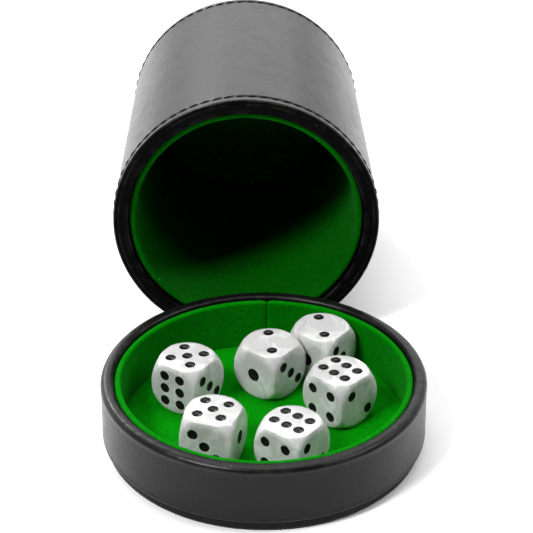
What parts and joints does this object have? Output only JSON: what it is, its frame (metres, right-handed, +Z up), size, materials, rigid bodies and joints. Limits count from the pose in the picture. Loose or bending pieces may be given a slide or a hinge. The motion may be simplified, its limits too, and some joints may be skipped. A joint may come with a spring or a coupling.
{
  "type": "leather dice cup",
  "caption": "Stitched leather dice cup with a felt lining, lying on its side, and its felt-lined lid used as a tray for the dice.",
  "frame": {"origin": "middle of the lid's flat underside, which rests on the table", "axes": "+Z up, +Y from the lid towards the base of the lying cup, +X to the right when looking from the lid to the cup"},
  "size_m": [0.096, 0.2017, 0.0835],
  "materials": {
    "black_leather": "black leather with a fine grain and a semi-gloss coat",
    "green_felt": "saturated green wool felt, matt",
    "grey_board": "plain grey board, hidden inside the leather",
    "black_thread": "waxed black thread",
    "pearl_acrylic": "pearl white acrylic with soft grey swirls, polished, black painted pips"
  },
  "bodies": {
    "lid": {"lid_wall_leather": "black_leather", "lid_base_leather": "black_leather", "lid_board_ring": "grey_board", "lid_base_board": "grey_board", "lid_felt_wall": "green_felt", "lid_felt_floor": "green_felt"},
    "cup": {"cup_wall_leather": "black_leather", "cup_base_leather": "black_leather", "cup_board_tube": "grey_board", "cup_lining_card": "grey_board", "cup_base_board": "grey_board", "cup_felt_wall": "green_felt", "cup_felt_floor": "green_felt", "cup_mouth_stitching": "black_thread", "cup_base_stitching": "black_thread"},
    "die_1": {"die_1": "pearl_acrylic"},
    "die_2": {"die_2": "pearl_acrylic"},
    "die_3": {"die_3": "pearl_acrylic"},
    "die_4": {"die_4": "pearl_acrylic"},
    "die_5": {"die_5": "pearl_acrylic"},
    "die_6": {"die_6": "pearl_acrylic"}
  },
  "joints": [
    {"name": "cup_turn", "type": "hinge", "parent": "lid", "child": "cup", "pos_m": [-0.00245, 0.03377, 0.00875], "axis": [-0.9949, -0.0722, -0.0699], "range_deg": [-92.13, 0]},
    {"name": "die_1_lift", "type": "slide", "parent": "lid", "child": "die_1", "axis": [0, 0, 1], "range_m": [0, 0.045]},
    {"name": "die_2_lift", "type": "slide", "parent": "lid", "child": "die_2", "axis": [0, 0, 1], "range_m": [0, 0.045]},
    {"name": "die_3_lift", "type": "slide", "parent": "lid", "child": "die_3", "axis": [0, 0, 1], "range_m": [0, 0.045]},
    {"name": "die_4_lift", "type": "slide", "parent": "lid", "child": "die_4", "axis": [0, 0, 1], "range_m": [0, 0.045]},
    {"name": "die_5_lift", "type": "slide", "parent": "lid", "child": "die_5", "axis": [0, 0, 1], "range_m": [0, 0.045]},
    {"name": "die_6_lift", "type": "slide", "parent": "lid", "child": "die_6", "axis": [0, 0, 1], "range_m": [0, 0.045]}
  ]
}
